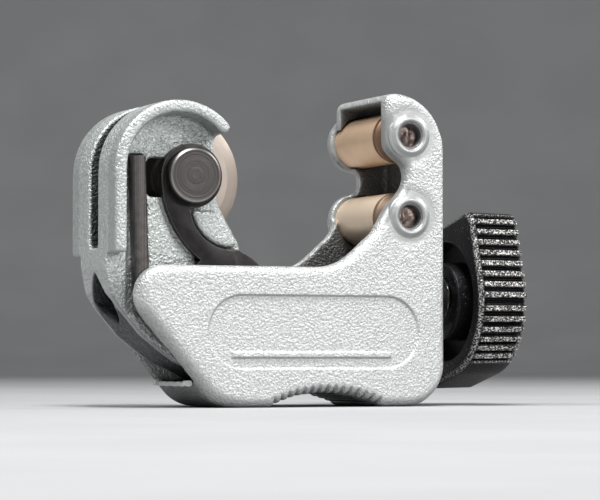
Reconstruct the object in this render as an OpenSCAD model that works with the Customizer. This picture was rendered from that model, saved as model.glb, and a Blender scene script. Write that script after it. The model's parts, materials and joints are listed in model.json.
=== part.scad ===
// Close-quarters tube cutter with a spring-fed wheel.
// A C-shaped cast frame carries two rollers on its right-hand ears. A cast slide
// runs in the frame's channel and carries the cutter wheel on a sprung lever.
// X is the feed direction, the wheel closes towards +X. Z is up, the feet are on z = 0.

/* [Frame] */
// X of the two roller axes, measured from the middle of the whole tool
roller_x = 13.2; // [13:0.1:13.4]
// Height of the lower roller axis
roller_low_z = 26.75; // [26.5:0.05:27]
// Height of the upper roller axis
roller_high_z = 38.2; // [38:0.05:38.4]
// Thickness of the frame across the ears
frame_w = 17.8; // [17.6:0.1:18]
// Width of the channel between the ears
channel_w = 13; // [12.9:0.05:13.1]
// Height of the frame's top edge
deck_z = 19.5; // [19.3:0.1:19.6]
// Total height of the frame
frame_h = 44.2; // [44:0.1:45]

/* [Rollers] */
// Diameter of a roller
roller_d = 7.2; // [7:0.05:7.2]
// Diameter of a roller pin
roller_pin_d = 3.3; // [3:0.05:3.4]

/* [Cutter wheel] */
// Diameter of the cutter wheel
wheel_d = 18.6; // [18:0.1:18.6]
// Diameter of the wheel pin's shank
wheel_pin_d = 3.6; // [3.5:0.05:3.7]
// Diameter of the wheel pin's head
wheel_head_d = 7.7; // [7.4:0.1:7.8]

/* [Feed screw and knob] */
// Height of the screw axis
screw_z = 15.05; // [15:0.05:15.1]
// Outer diameter of the feed thread
screw_d = 7; // [6.8:0.1:7]
// Radius of the knob's round part
knob_r = 11; // [10.5:0.1:11]
// Distance of each thumb lobe's centre from the knob's axis
lobe_reach = 12; // [11.6:0.1:12]
// Width of the knob
knob_w = 7.7; // [7.5:0.1:7.7]

/* [Hidden] */
$fn = 64;
eps = 0.01;
run_fit = 0.03;

// Frame, with x measured from the roller axes
frame_right = 5.5;
floor_z = 3.6;
roof_t = 1.4;
ear_back = 3.9;
open_x = -60;
channel = [[open_x, floor_z, 0.1], [ear_back, floor_z, 0.6],
    [ear_back, frame_h - roof_t, 5.6], [open_x, frame_h - roof_t, 0.1]];
pin_boss_r = 2.85;
pin_boss_h = 0.45;
pin_recess = 1.3;
lobe_ear_r = 4.25;
lobe_ear_y = [8.4, 10.1];
roller_seat_r = 3.85;
roller_seat_y = 8.55;
guide_w = 14;
guide_z = 8.8;
toe_x = -29.2;
slant = 0.855;
ear_x = -3.55;
notch_x = -0.4;
// Corners of the frame's side, each with its radius
frame_outline = [[toe_x, 0, 6], [frame_right, 0, 5.5], [frame_right, frame_h, 7.5],
    [ear_x, frame_h, 1.4], [ear_x, 36.2, 2.5], [notch_x, 33.7, 2], [notch_x, 31.2, 3],
    [-3.5, 27.7, 2], [-5.2, 24.6, 4], [-11, deck_z, 8],
    [toe_x - slant * deck_z, deck_z, 4.15]];
arch_x = -12.65;
arch_r = 19.5;
arch_rise = 1.95;
serration_r = 0.32;
serration_step = 3.32;
serration_span = 23.24;
panel = [[-25.6, 10.4], [-3.7, 10.4]];
panel_r = 5.15;
panel_depth = 0.25;
panel_bar = [-27, 6.9, 24, 0.7];
nut_d = 10;
nut_flange_d = 12;
nut_x = 2.2;

// Rollers
roller_y = [-6.35, 8.4];
roller_groove_y = [-4.5, -4.15];
roller_groove = 0.35;

// Slide, with x measured from the roller axes
hood_c = [-34.6, 32.4];
hood_r = 9.6;
hood_w = 17.8;
hood_t = 1.8;
hood_low_z = 21;
tip_angle = 43;
web_in = 3.4;
web_out = 5;
shank_w = 10.4;
slot_w = 3.3;
slot_end = 30;
slide_end = -16.4;
base_x = -29;
base_w = 13.7;
base_z = [3.85, 8.5];
wheel_c = [-32, 31.8];
window = [-38.4, -29.7, 28.8, 34.2];
window_r = 1;
lever_travel = 7;
pivot_c = [-26.6, 15.4];
pivot_d = 4;
pad_out = 6.2;
spring_pass = [-38.4, 11.9];
shank_outer = [[-44.2, hood_low_z + 1], [-44.2, 19.2], [-43.5, 15.6], [-42.2, 13.6],
    [-39.1, 10], [-36.2, 7.75], [-34, 6.2], [-31.5, 5.2], [-28.9, base_z[0]]];
shank_inner = [[base_x, base_z[1]], [-31.4, 8.5], [-34.6, 9.6], [-37.2, 11.4], [-39.6, 13.8],
    [-41.3, 16.4], [-42.2, 19.2], [-42.2, hood_low_z + 1]];
shank_window = [[0, 18.6], [-3.4, 14.6], [-2.6, 13.2], [0, 11.6], [2.6, 13.2], [3.4, 14.6]];
shank_window_x = -38.4;
screw_block_x = -21.6;
web_edge = [[-27.9, 38.6], [-28.4, 35.5], [-28.4, 33], [-27.9, 29.5], [-27.6, 27.9],
    [-26.7, 26.3], [-24.6, 22.7], [-24.1, 20.6], [-23.4, deck_z]];
journal_d = 5;
neck_d = 3.4;
neck_x = -19;
neck_half = 0.8;
journal_x = -21;
washer_d = 9;
washer_t = 0.8;
retainer_d = 1.5;
retainer_off = (neck_d + retainer_d) / 2 + 0.05;

// Lever, with x measured from the roller axes
lever_in = 5.05;
lever_out = 6.05;
lever_eye_r = 4.46;
lever_boss_r = 6.3;
lever_back = [[-21.7, 32], 14.8];
lever_bay = [[-26, 28], 6.35];
pad_gap = 0.35;
bridge_c = [-29.3, 21];
bridge_d = 1.8;
bridge_gap = 0.25;
bridge_y = 5.65;
wheel_pin_y = [-7.6, 7.4];
clip_y = [6.12, 6.72];
clip_groove = 0.35;

// Spring, with x measured from the roller axes
coil_r = 4.2;
coil_half = 3.1;
leg_y = [4.25, 6.2];

// Knob, with x measured from the roller axes
knob_x = 10.1;
lobe_r = 2.3;
lobe_angle = 60;
dish_r = 8.6;
dish_depth = 2.6;
collar_r = 5.6;
collar_x = 9.35;
knob_cover = 1.2;
face_ring_r = [5.2, 8];
face_ring_depth = 0.8;
knob_pin_d = 2;
knob_pin_x = 11.1;

function arc(c, r, a0, a1, n) = [for (i = [0:n]) c + r * [cos(a0 + (a1 - a0) * i / n),
    sin(a0 + (a1 - a0) * i / n)]];
function unit(v) = v / norm(v);
// Points of a corner p between a and b, rounded with radius r
function fillet(a, p, b, r) =
    let (u = unit(a - p), v = unit(b - p), half = acos(u * v) / 2,
        c = p + unit(u + v) * r / sin(half), s = p + u * r / tan(half) - c,
        e = p + v * r / tan(half) - c, turn = sign(s[0] * e[1] - s[1] * e[0]),
        a0 = atan2(s[1], s[0]))
    arc(c, r, a0, a0 + turn * (180 - 2 * half), 10);
// Point p turned by angle a about the lever's pivot
function turned(p, a) = pivot_c + [cos(a) * (p - pivot_c)[0] - sin(a) * (p - pivot_c)[1],
    sin(a) * (p - pivot_c)[0] + cos(a) * (p - pivot_c)[1]];
// Outline k of [x, z, radius] corners, each rounded
function rounded(k) = [for (i = [0:len(k) - 1])
    let (m = len(k), a = k[(i + m - 1) % m], p = k[i], b = k[(i + 1) % m])
    each fillet([a[0], a[1]], [p[0], p[1]], [b[0], b[1]], p[2])];

// Extrudes an X-Z outline between two y values, with x from the roller axes
module side(y0, y1) {
    translate([roller_x, y1, 0]) rotate([90, 0, 0]) linear_extrude(y1 - y0) children();
}
module side_pair(y0, y1) {
    side(y0, y1) children();
    side(-y1, -y0) children();
}
// A round bar along Y
module bar_y(c, d, y0, y1) {
    translate([roller_x + c[0], y1, c[1]]) rotate([90, 0, 0]) cylinder(d = d, h = y1 - y0);
}
// A round bar along X on the screw axis
module bar_x(d, x0, x1) {
    translate([roller_x + x0, 0, screw_z]) rotate([0, 90, 0]) cylinder(d = d, h = x1 - x0);
}
module box(x0, x1, y0, y1, z0, z1) {
    translate([roller_x + x0, y0, z0]) cube([x1 - x0, y1 - y0, z1 - z0]);
}
module disc(c, r) {
    translate(c) circle(r);
}

module frame_side() {
    difference() {
        polygon(rounded(frame_outline));
        disc([arch_x, arch_rise - arch_r], arch_r);
        for (a = [-serration_span:serration_step:serration_span])
            disc([arch_x, arch_rise - arch_r] + arch_r * [sin(a), cos(a)], serration_r);
    }
}
// The sunk obround panel, with a plain bar left standing in it
module panel_side() {
    difference() {
        hull() for (p = panel) disc(p, panel_r);
        translate([panel_bar[0], panel_bar[1]]) square([panel_bar[2], panel_bar[3]]);
    }
}
module frame() color([0.84, 0.84, 0.83]) {
    difference() {
        union() {
            side(-frame_w / 2, frame_w / 2) frame_side();
            for (z = [roller_low_z, roller_high_z]) {
                bar_y([0, z], 2 * pin_boss_r, -frame_w / 2 - pin_boss_h, 0);
                bar_y([0, z], 2 * lobe_ear_r, lobe_ear_y[0], lobe_ear_y[1]);
            }
        }
        side_pair(frame_w / 2 - panel_depth, frame_w / 2 + 1) panel_side();
        // Channel for the slide and the rollers
        side(-channel_w / 2, channel_w / 2) polygon(rounded(channel));
        // Guide grooves for the slide's base
        box(open_x, ear_back, -guide_w / 2, guide_w / 2, floor_z, guide_z);
        for (z = [roller_low_z, roller_high_z]) {
            bar_y([0, z], roller_pin_d, -frame_w, frame_w);
            // Seat for the roller's far end
            bar_y([0, z], 2 * roller_seat_r, 0, roller_seat_y);
        }
        bar_x(nut_d, ear_back - 1, frame_right + 1);
    }
}
module feed_nut() color([0.55, 0.55, 0.56]) {
    difference() {
        union() {
            bar_x(nut_d, nut_x, frame_right);
            bar_x(nut_flange_d, nut_x, ear_back);
        }
        bar_x(screw_d + 0.2, nut_x - 1, frame_right + 1);
    }
}
module roller_pin(z) color([0.66, 0.56, 0.5]) {
    bar_y([0, z], roller_pin_d, -frame_w / 2 + pin_recess - pin_boss_h, lobe_ear_y[1] - 0.5);
}
module upper_roller_pin() roller_pin(roller_high_z);
module lower_roller_pin() roller_pin(roller_low_z);
module roller(z) color([0.78, 0.66, 0.54]) {
    difference() {
        bar_y([0, z], roller_d, roller_y[0], roller_y[1]);
        bar_y([0, z], roller_pin_d + 2 * run_fit, roller_y[0] - 1, roller_y[1] + 1);
        difference() {
            bar_y([0, z], roller_d + 1, roller_groove_y[0], roller_groove_y[1]);
            bar_y([0, z], roller_d - 2 * roller_groove, roller_y[0], roller_y[1]);
        }
    }
}
module upper_roller() roller(roller_high_z);
module lower_roller() roller(roller_low_z);

// Outline of the hood's bent wall, from its lower end round to the tip
module hood_wall() {
    r_in = hood_r - hood_t;
    polygon(concat([[hood_c[0] - hood_r, hood_low_z]],
        arc(hood_c, hood_r, 180, tip_angle, 28),
        arc(hood_c + (hood_r - hood_t / 2) * [cos(tip_angle), sin(tip_angle)],
            hood_t / 2, tip_angle, tip_angle - 180, 8),
        arc(hood_c, r_in, tip_angle, 180, 28), [[hood_c[0] - r_in, hood_low_z]]));
}
module web_side() {
    difference() {
        polygon(concat(arc(hood_c, hood_r - hood_t / 2, 180, tip_angle + 1, 28), web_edge,
            [[-23.4, base_z[1] - 1], [base_x, base_z[1] - 1]], shank_inner));
        // Window that the wheel pin moves in
        hull() for (x = [window[0] + window_r, window[1] - window_r],
            z = [window[2] + window_r, window[3] - window_r])
            disc([x, z], window_r);
        // Slot that the lever's bridge pin moves in
        hull() for (a = [0, lever_travel])
            disc(turned(bridge_c, a), bridge_d / 2 + bridge_gap);
        // Passage for the spring's legs
        translate(spring_pass) square([4.2, 3]);
    }
}
module shank_wall() {
    polygon(concat(shank_outer, shank_inner));
}
// Raised pad in the lever's bay
module lever_pad() {
    intersection() {
        polygon([[-33.2, 27], [-28.7, 27], [-27.3, 26.3], [-25.3, 22.7], [-26, 21.9],
            [-33.2, 21.9]]);
        disc(lever_bay[0], lever_bay[1] - pad_gap);
    }
}
module slide_housing() color([0.8, 0.82, 0.8]) {
    difference() {
        union() {
            side(-hood_w / 2, hood_w / 2) hood_wall();
            side_pair(web_in, web_out) web_side();
            side(-shank_w / 2, shank_w / 2) shank_wall();
            side_pair(web_out - eps, pad_out) lever_pad();
            box(base_x, slide_end, -base_w / 2, base_w / 2, base_z[0], base_z[1]);
            box(screw_block_x, slide_end, -web_out, web_out, base_z[1] - eps, deck_z - 0.2);
        }
        // Slot through the hood for the wheel
        side(-slot_w / 2, slot_w / 2) polygon(concat(arc(hood_c, hood_r + 1, 180, slot_end, 32),
            arc(hood_c, hood_r - hood_t - 0.6, slot_end, 180, 32),
            [[hood_c[0] - 6, 22.6], [hood_c[0] - hood_r - 1, 21.6]]));
        // Three-sided window in the shank
        translate([roller_x + open_x, 0, 0]) rotate([90, 0, 90])
            linear_extrude(shank_window_x - open_x)
            polygon(shank_window);
        // Seats for the spring's legs
        side_pair(leg_y[0] - 0.05, web_out + 1)
            polygon([[-41.1, 34.6], [-38.6, 34.6], [-37.9, 15.9], [-36.2, 14.9], [-36, 11.9],
                [-41.1, 12.5]]);
        bar_y(pivot_c, pivot_d, -frame_w, frame_w);
        bar_x(journal_d + 2 * run_fit, screw_block_x - 1, slide_end + 1);
        for (s = [-1, 1])
            bar_y([neck_x, screw_z + s * retainer_off], retainer_d, -web_out - 1, web_out + 1);
    }
}
module lever_pivot_pin() color([0.35, 0.34, 0.33]) {
    bar_y(pivot_c, pivot_d, -channel_w / 2 + 0.2, channel_w / 2 - 0.2);
}
module screw_retaining_pins() color([0.45, 0.44, 0.43]) {
    for (s = [-1, 1])
        bar_y([neck_x, screw_z + s * retainer_off], retainer_d, -web_out, web_out);
}
module thrust_washer() color([0.5, 0.5, 0.5]) {
    difference() {
        bar_x(washer_d, slide_end, slide_end + washer_t);
        bar_x(journal_d + 0.4, slide_end - 1, slide_end + 2);
    }
}
module autofeed_spring() color([0.28, 0.26, 0.25]) {
    difference() {
        bar_y(pivot_c, 2 * coil_r, -coil_half, coil_half);
        bar_y(pivot_c, pivot_d + 0.3, -frame_w, frame_w);
    }
    // Fixed legs, up the back of the hood
    side_pair(leg_y[0], leg_y[1])
        polygon([[-40.8, 34.4], [-38.8, 34.4], [-38.1, 15.5], [-36.4, 14.6], [-34.6, 14.4],
            [-34.6, 12.3], [-37.3, 12.5], [-40.1, 15.2]]);
    side_pair(1, leg_y[1] - eps) translate([-36.6, 12.3]) square([2, 2.1]);
    side_pair(1, coil_half) polygon([[-36.6, 12.3], [-36.6, 14.4], [-29.5, 13.4], [-27, 11.4]]);
    // Moving leg behind the lever's bridge pin
    side(-1, 1) polygon([[-30.9, 15.4], [-32.5, 21.6], [-30.6, 21.9], [-29, 16]]);
}

module lever_side() {
    difference() {
        union() {
            disc(wheel_c, lever_eye_r);
            disc(pivot_c, lever_boss_r);
            difference() {
                intersection() {
                    disc(lever_back[0], lever_back[1]);
                    polygon([[-40, 32], [-31, 31.6], [-31.6, 28.2], [-31, 25], [-24.5, 21.4],
                        [-24, 15], [-40, 15]]);
                }
                disc(lever_bay[0], lever_bay[1]);
            }
        }
        disc(wheel_c, wheel_pin_d / 2);
        disc(pivot_c, pivot_d / 2 + run_fit);
    }
}
// Plate with a blind hole for the bridge pin on its inner face
module lever(y0, y1) color([0.22, 0.2, 0.2]) {
    difference() {
        side(y0, y1) lever_side();
        bar_y(bridge_c, bridge_d, -bridge_y, bridge_y);
    }
}
module front_lever() lever(-lever_out, -lever_in);
module rear_lever() lever(lever_in, lever_out);
module lever_bridge_pin() color([0.35, 0.34, 0.33]) {
    bar_y(bridge_c, bridge_d, -bridge_y, bridge_y);
}
module wheel_pin() color([0.27, 0.25, 0.25]) {
    difference() {
        union() {
            bar_y(wheel_c, wheel_head_d, wheel_pin_y[0], -lever_out);
            bar_y(wheel_c, wheel_pin_d, -lever_out - eps, wheel_pin_y[1]);
        }
        difference() {
            bar_y(wheel_c, wheel_pin_d + 1, clip_y[0] - 0.02, clip_y[1] + 0.02);
            bar_y(wheel_c, wheel_pin_d - 2 * clip_groove, lever_out, wheel_pin_y[1]);
        }
    }
}
module wheel_pin_clip() color([0.3, 0.3, 0.3]) {
    difference() {
        bar_y(wheel_c, wheel_pin_d + 3, clip_y[0], clip_y[1]);
        bar_y(wheel_c, wheel_pin_d - 2 * clip_groove, lever_out, wheel_pin_y[1]);
        side(lever_out, wheel_pin_y[1]) translate(wheel_c - [0.9, 5]) square([1.8, 5]);
    }
}
module cutter_wheel() color([0.74, 0.66, 0.6]) {
    translate([roller_x + wheel_c[0], 0, wheel_c[1]]) rotate([90, 0, 0])
        rotate_extrude() polygon([[wheel_pin_d / 2 + run_fit, -3.1], [3.6, -3.1], [3.8, -2.9],
            [3.8, -1], [7.6, -0.9], [wheel_d / 2, -0.05], [wheel_d / 2, 0.05], [7.6, 0.9],
            [3.8, 1], [3.8, 2.9], [3.6, 3.1], [wheel_pin_d / 2 + run_fit, 3.1]]);
}

module knob_pin(length) {
    translate([roller_x + knob_pin_x, 0, screw_z])
        cylinder(d = knob_pin_d, h = length, center = true);
}
module feed_screw() color([0.5, 0.5, 0.5]) {
    difference() {
        union() {
            bar_x(journal_d, journal_x, slide_end + washer_t + 0.2);
            bar_x(screw_d, slide_end + washer_t + 0.05, knob_x + dish_depth);
            bar_x(journal_d, knob_x + dish_depth - eps, knob_x + knob_w - knob_cover);
        }
        difference() {
            bar_x(journal_d + 1, neck_x - neck_half, neck_x + neck_half);
            bar_x(neck_d, neck_x - 1, neck_x + 1);
        }
        knob_pin(2 * screw_d);
    }
}
// Round grip with two opposite thumb lobes, in the plane across the screw
module knob_side() {
    beta = acos((knob_r - lobe_r) / lobe_reach);
    circle(knob_r);
    for (a = [lobe_angle, lobe_angle + 180]) {
        c = lobe_reach * [cos(a), sin(a)];
        translate(c) circle(lobe_r);
        polygon([knob_r * [cos(a - beta), sin(a - beta)],
            c + lobe_r * [cos(a - beta), sin(a - beta)],
            c + lobe_r * [cos(a + beta), sin(a + beta)],
            knob_r * [cos(a + beta), sin(a + beta)], [0, 0]]);
    }
}
module feed_knob() color([0.15, 0.15, 0.16]) {
    difference() {
        union() {
            translate([roller_x + knob_x, 0, screw_z]) rotate([90, 0, -90]) mirror([0, 0, 1])
                linear_extrude(knob_w) knob_side();
            bar_x(2 * collar_r, collar_x, knob_x + 1);
        }
        difference() {
            bar_x(2 * dish_r, knob_x - 1, knob_x + dish_depth);
            bar_x(2 * collar_r, knob_x - 2, knob_x + knob_w);
        }
        bar_x(screw_d, collar_x - 1, knob_x + dish_depth);
        bar_x(journal_d, knob_x, knob_x + knob_w - knob_cover);
        difference() {
            bar_x(2 * face_ring_r[1], knob_x + knob_w - face_ring_depth, knob_x + knob_w + 1);
            bar_x(2 * face_ring_r[0], knob_x, knob_x + knob_w + 2);
        }
        knob_pin(2 * dish_r - 1);
    }
}
module knob_cross_pin() color([0.4, 0.4, 0.4]) knob_pin(2 * collar_r - 0.3);

frame();
feed_nut();
upper_roller_pin();
lower_roller_pin();
upper_roller();
lower_roller();
slide_housing();
lever_pivot_pin();
screw_retaining_pins();
thrust_washer();
autofeed_spring();
front_lever();
rear_lever();
lever_bridge_pin();
wheel_pin();
wheel_pin_clip();
cutter_wheel();
feed_screw();
feed_knob();
knob_cross_pin();
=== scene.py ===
"""Looks of a close-quarters tube cutter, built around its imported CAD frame.

Shapes are worked out in millimetres, with x measured from the roller axes. mesh_mm() and
set_coordinates() turn them into metres in the shared frame.
"""
import json
import math
from functools import reduce

import bmesh
import bpy
import numpy as np
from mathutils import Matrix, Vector


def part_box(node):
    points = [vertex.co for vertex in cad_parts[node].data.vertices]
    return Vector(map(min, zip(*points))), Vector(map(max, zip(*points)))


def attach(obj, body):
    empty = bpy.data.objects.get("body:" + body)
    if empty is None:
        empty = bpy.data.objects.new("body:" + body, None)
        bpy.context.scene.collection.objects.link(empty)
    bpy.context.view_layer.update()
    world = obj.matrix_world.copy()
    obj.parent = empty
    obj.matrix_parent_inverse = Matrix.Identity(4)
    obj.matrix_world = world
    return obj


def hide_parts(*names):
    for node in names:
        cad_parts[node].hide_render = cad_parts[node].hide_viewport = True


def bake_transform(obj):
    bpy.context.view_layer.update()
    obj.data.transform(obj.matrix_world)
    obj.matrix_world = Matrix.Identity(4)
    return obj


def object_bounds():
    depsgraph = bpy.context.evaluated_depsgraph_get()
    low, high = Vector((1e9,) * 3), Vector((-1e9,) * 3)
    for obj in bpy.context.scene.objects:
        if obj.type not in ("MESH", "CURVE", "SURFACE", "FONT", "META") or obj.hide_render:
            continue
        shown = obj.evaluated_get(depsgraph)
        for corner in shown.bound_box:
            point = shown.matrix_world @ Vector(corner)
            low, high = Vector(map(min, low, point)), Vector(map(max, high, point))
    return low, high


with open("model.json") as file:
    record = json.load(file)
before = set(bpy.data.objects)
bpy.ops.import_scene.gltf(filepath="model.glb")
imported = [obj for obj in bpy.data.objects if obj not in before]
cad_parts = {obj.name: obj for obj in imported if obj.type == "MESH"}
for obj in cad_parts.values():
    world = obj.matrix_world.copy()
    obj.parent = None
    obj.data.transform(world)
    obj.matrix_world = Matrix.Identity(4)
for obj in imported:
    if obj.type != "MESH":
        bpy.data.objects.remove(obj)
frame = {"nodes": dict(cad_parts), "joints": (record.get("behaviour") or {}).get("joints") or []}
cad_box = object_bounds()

MM = 0.001
JOINTS = {joint["name"]: joint for joint in frame["joints"]}
ROLLER_X = JOINTS["upper_roller_spin"]["pos_m"][0] / MM
SHIFT = np.array([ROLLER_X, 0.0, 0.0])


def joint_mm(name):
    """Place of a joint's axis, in mm from the roller axes."""
    return np.array(JOINTS[name]["pos_m"]) / MM - SHIFT


def box_mm(node):
    """Lowest and highest corner of a CAD node, in mm from the roller axes."""
    low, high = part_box(node)
    return np.array(low) / MM - SHIFT, np.array(high) / MM - SHIFT


HIGH_ROLLER = joint_mm("upper_roller_spin")
LOW_ROLLER = joint_mm("lower_roller_spin")
WHEEL = joint_mm("wheel_spin")
PIVOT = joint_mm("lever_swing")
SCREW = joint_mm("knob_turn")

# Sizes of the CAD model, in mm
HALF_W = 8.9
CHANNEL, ROOF_Z, BACK_X, BEND_R = 6.5, 42.8, 3.9, 5.6
HOOD_X, HOOD_Z, HOOD_R = -34.6, 32.4, 9.6
SHANK_TOP, SHANK_BOW = 19.2, 0.055
GROOVE_Y, ROLLER_BORE = -4.15, 1.68
PIN_RING_R, PIN_RING_Y = 3.58, -7.3
THREAD_PITCH = 1.5
WIRE = 1.95


# ---- materials

EDGE_GAIN = 6.0
# Shares of the paint's darker colours: in blotches, where it is worn, as painted shade on faces
# that look down, as painted shade in the hollows, and as painted shade on the head's foot and
# flanks
BLOTCH_SHARE, POLISH_SHARE, DOWN_SHADE_SHARE, SHADOW_SHARE = 0.25, 0.4, 0.55, 0.94
FOOT_SHADE_SHARE, FLANK_SHADE_SHARE = 0.3, 0.35
# Colour of the rubbed specks on dark steel, and of the painted highlight on its edges.
RUBBED_AND_HIGHLIGHT = (0.24, 0.22, 0.21)


class Graph:
    """A material's node tree, with short calls for the nodes used here."""

    def __init__(self, name, **sockets):
        self.material = bpy.data.materials.new(name)
        self.material.use_nodes = True
        self.tree = self.material.node_tree
        self.shader = self.tree.nodes["Principled BSDF"]
        for key, value in sockets.items():
            self.put(self.shader.inputs[key.replace("_", " ")], value)
        self.at = self.add("TexCoord").outputs["Object"]

    def put(self, socket, value):
        if isinstance(value, bpy.types.NodeSocket):
            self.tree.links.new(value, socket)
        elif isinstance(value, (tuple, list)) and len(value) == 3 and socket.type == "RGBA":
            socket.default_value = (*value, 1.0)
        else:
            socket.default_value = value

    def add(self, kind, inputs=None, **settings):
        made = self.tree.nodes.new("ShaderNode" + kind)
        for key, value in settings.items():
            setattr(made, key, value)
        for key, value in (inputs or {}).items():
            self.put(made.inputs[key], value)
        return made

    def math(self, operation, a, b=0.0, clamp=False):
        made = self.add("Math", {0: a, 1: b}, operation=operation, use_clamp=clamp)
        return made.outputs[0]

    def plus(self, a, b, clamp=False):
        return self.math("ADD", a, b, clamp)

    def minus(self, a, b):
        return self.math("SUBTRACT", a, b)

    def times(self, a, b, clamp=False):
        return self.math("MULTIPLY", a, b, clamp)

    def hypot(self, a, b):
        return self.math("SQRT", self.plus(self.times(a, a), self.times(b, b)))

    def noise(self, size, detail=2.0, rough=0.5, twist=0.0):
        """Noise whose grains are about size millimetres across."""
        return self.add("TexNoise", {"Vector": self.at, "Scale": 1 / (size * MM),
            "Detail": detail, "Roughness": rough, "Distortion": twist}).outputs["Fac"]

    def lines(self, along, size):
        """Noise in one direction only, as turning or grinding leaves."""
        scaled = self.times(along, 1 / (size * MM))
        return self.add("TexNoise", {"W": scaled, "Scale": 1.0, "Detail": 3.0},
            noise_dimensions="1D").outputs["Fac"]

    def cells(self, size):
        """Soft cells that are about size millimetres across."""
        return self.add("TexVoronoi", {"Vector": self.at, "Scale": 1 / (size * MM),
            "Smoothness": 0.6}, feature="SMOOTH_F1").outputs["Distance"]

    def ramp(self, value, low, high, to_low=0.0, to_high=1.0):
        """The value's range from low to high, carried smoothly to another range."""
        made = self.add("MapRange", {"Value": value, "From Min": low, "From Max": high,
            "To Min": to_low, "To Max": to_high}, interpolation_type="SMOOTHSTEP")
        return made.outputs["Result"]

    def mix(self, share, a, b):
        """Colour a, with a share of colour b."""
        made = self.add("Mix", data_type="RGBA")
        self.put(made.inputs["Factor"], share)
        self.put(made.inputs[6], a)
        self.put(made.inputs[7], b)
        return made.outputs[2]

    def axis(self, which):
        return self.add("SeparateXYZ", {"Vector": self.at}).outputs[which]

    def radius(self, centre, plane="XZ"):
        """Distance from an axis through centre, which is square to the plane."""
        split = self.add("SeparateXYZ", {"Vector": self.at})
        spot = (centre + SHIFT) * MM
        return self.hypot(*[self.minus(split.outputs[k], float(spot["XYZ".index(k)]))
            for k in plane])

    def edges(self, width):
        """1 on sharp edges, falling to 0 within width millimetres."""
        soft = self.add("Bevel", {"Radius": width * MM}, samples=4).outputs["Normal"]
        flat = self.add("NewGeometry").outputs["Normal"]
        dot = self.add("VectorMath", {0: soft, 1: flat}, operation="DOT_PRODUCT")
        return self.times(self.minus(1.0, dot.outputs["Value"]), EDGE_GAIN, clamp=True)

    def bump(self, height, depth, strength=1.0):
        """Bumps of about depth millimetres."""
        made = self.add("Bump", {"Height": height, "Distance": depth * MM,
            "Strength": strength})
        self.put(self.shader.inputs["Normal"], made.outputs["Normal"])

    def finish(self, colour, rough):
        self.put(self.shader.inputs["Base Color"], colour)
        self.put(self.shader.inputs["Roughness"], rough)
        return self.material


def toned(colour, factor):
    """The colour, made lighter or darker."""
    return tuple(min(1.0, c * factor) for c in colour)


def near(g, value, low, high):
    """1 where the value is below low millimetres, falling to 0 at high."""
    return g.ramp(value, low * MM, high * MM, 1.0, 0.0)


def beyond(g, value, low, high):
    """0 where the value is below low millimetres, rising to 1 at high."""
    return g.ramp(value, low * MM, high * MM)


def past(g, value, limit):
    """How far the value is past a limit in millimetres, and 0 before it."""
    return g.math("MAXIMUM", g.minus(value, limit * MM), 0.0)


def both(g, *shares):
    """Product of several shares."""
    return reduce(g.times, shares)


def either(g, *shares):
    """The largest of several shares."""
    return reduce(lambda a, b: g.math("MAXIMUM", a, b), shares)


def cast_paint(name, colour, inside, grain, depth, shadow, polish):
    """Sprayed paint over a pebbled casting, with painted shade on the faces that look down.

    Grain and depth are the pebbles' size in mm. Shadow and polish are functions of the graph:
    they give 1 in the dark hollows, where shade is painted in the inside colour, and 1 where the
    pebbles are worn flat.
    """
    g = Graph(name, Metallic=0.6, Specular_IOR_Level=0.5)
    worn_flat = polish(g)
    rough_cast = g.minus(1.0, g.times(worn_flat, 0.9))
    pebble = g.plus(g.times(g.noise(grain, 2.5, 0.55, twist=0.3), 0.8),
        g.times(g.cells(grain * 0.9), 0.35))
    g.bump(g.times(pebble, rough_cast), depth)
    crests = g.times(g.ramp(pebble, 0.42, 0.66), rough_cast)
    shade = g.mix(crests, toned(colour, 0.9), toned(colour, 1.1))
    blotches = g.times(g.ramp(g.noise(5.0, 3.0), 0.3, 0.7), BLOTCH_SHARE)
    shade = g.mix(blotches, shade, toned(colour, 0.94))
    shade = g.mix(g.times(worn_flat, POLISH_SHARE), shade, toned(colour, 0.45))
    normal = g.add("NewGeometry").outputs["Normal"]
    facing = g.add("SeparateXYZ", {"Vector": normal}).outputs["Z"]
    # Painted shade: the faces that look down are darker.
    shade = g.mix(g.ramp(facing, -0.62, -0.08, DOWN_SHADE_SHARE, 0.0), shade, toned(colour, 0.33))
    # Painted shade in the hollows, in the inside colour.
    shade = g.mix(g.times(shadow(g), SHADOW_SHARE), shade, inside)
    return g.finish(shade, g.ramp(g.noise(grain * 2, 2.0), 0.3, 0.7, 0.38, 0.52))


def to_roller(g):
    """Distance from the nearer roller's axis."""
    return g.math("MINIMUM", g.radius(HIGH_ROLLER), g.radius(LOW_ROLLER))


def channel_shadow(g):
    """Painted shade with a dark tint on the walls of the frame's channel, and painted shade in the
    holes that the roller pins are sunk in.
    """
    back = past(g, g.axis("X"), ROLLER_X + BACK_X - BEND_R)
    up = past(g, g.axis("Z"), ROOF_Z - BEND_R)
    across = g.math("ABSOLUTE", g.axis("Y"))
    walls = both(g, near(g, across, CHANNEL + 0.1, CHANNEL + 0.3),
        near(g, g.hypot(back, up), BEND_R + 0.1, BEND_R + 0.5), beyond(g, g.axis("Z"), 2.8, 3.4))
    holes = both(g, near(g, to_roller(g), 1.8, 1.95), near(g, g.axis("Y"), -7.0, -6.8))
    return either(g, walls, holes)


def boss_polish(g):
    """The ears are smooth round the roller pins."""
    return near(g, to_roller(g), 3.5, 5.0)


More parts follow.
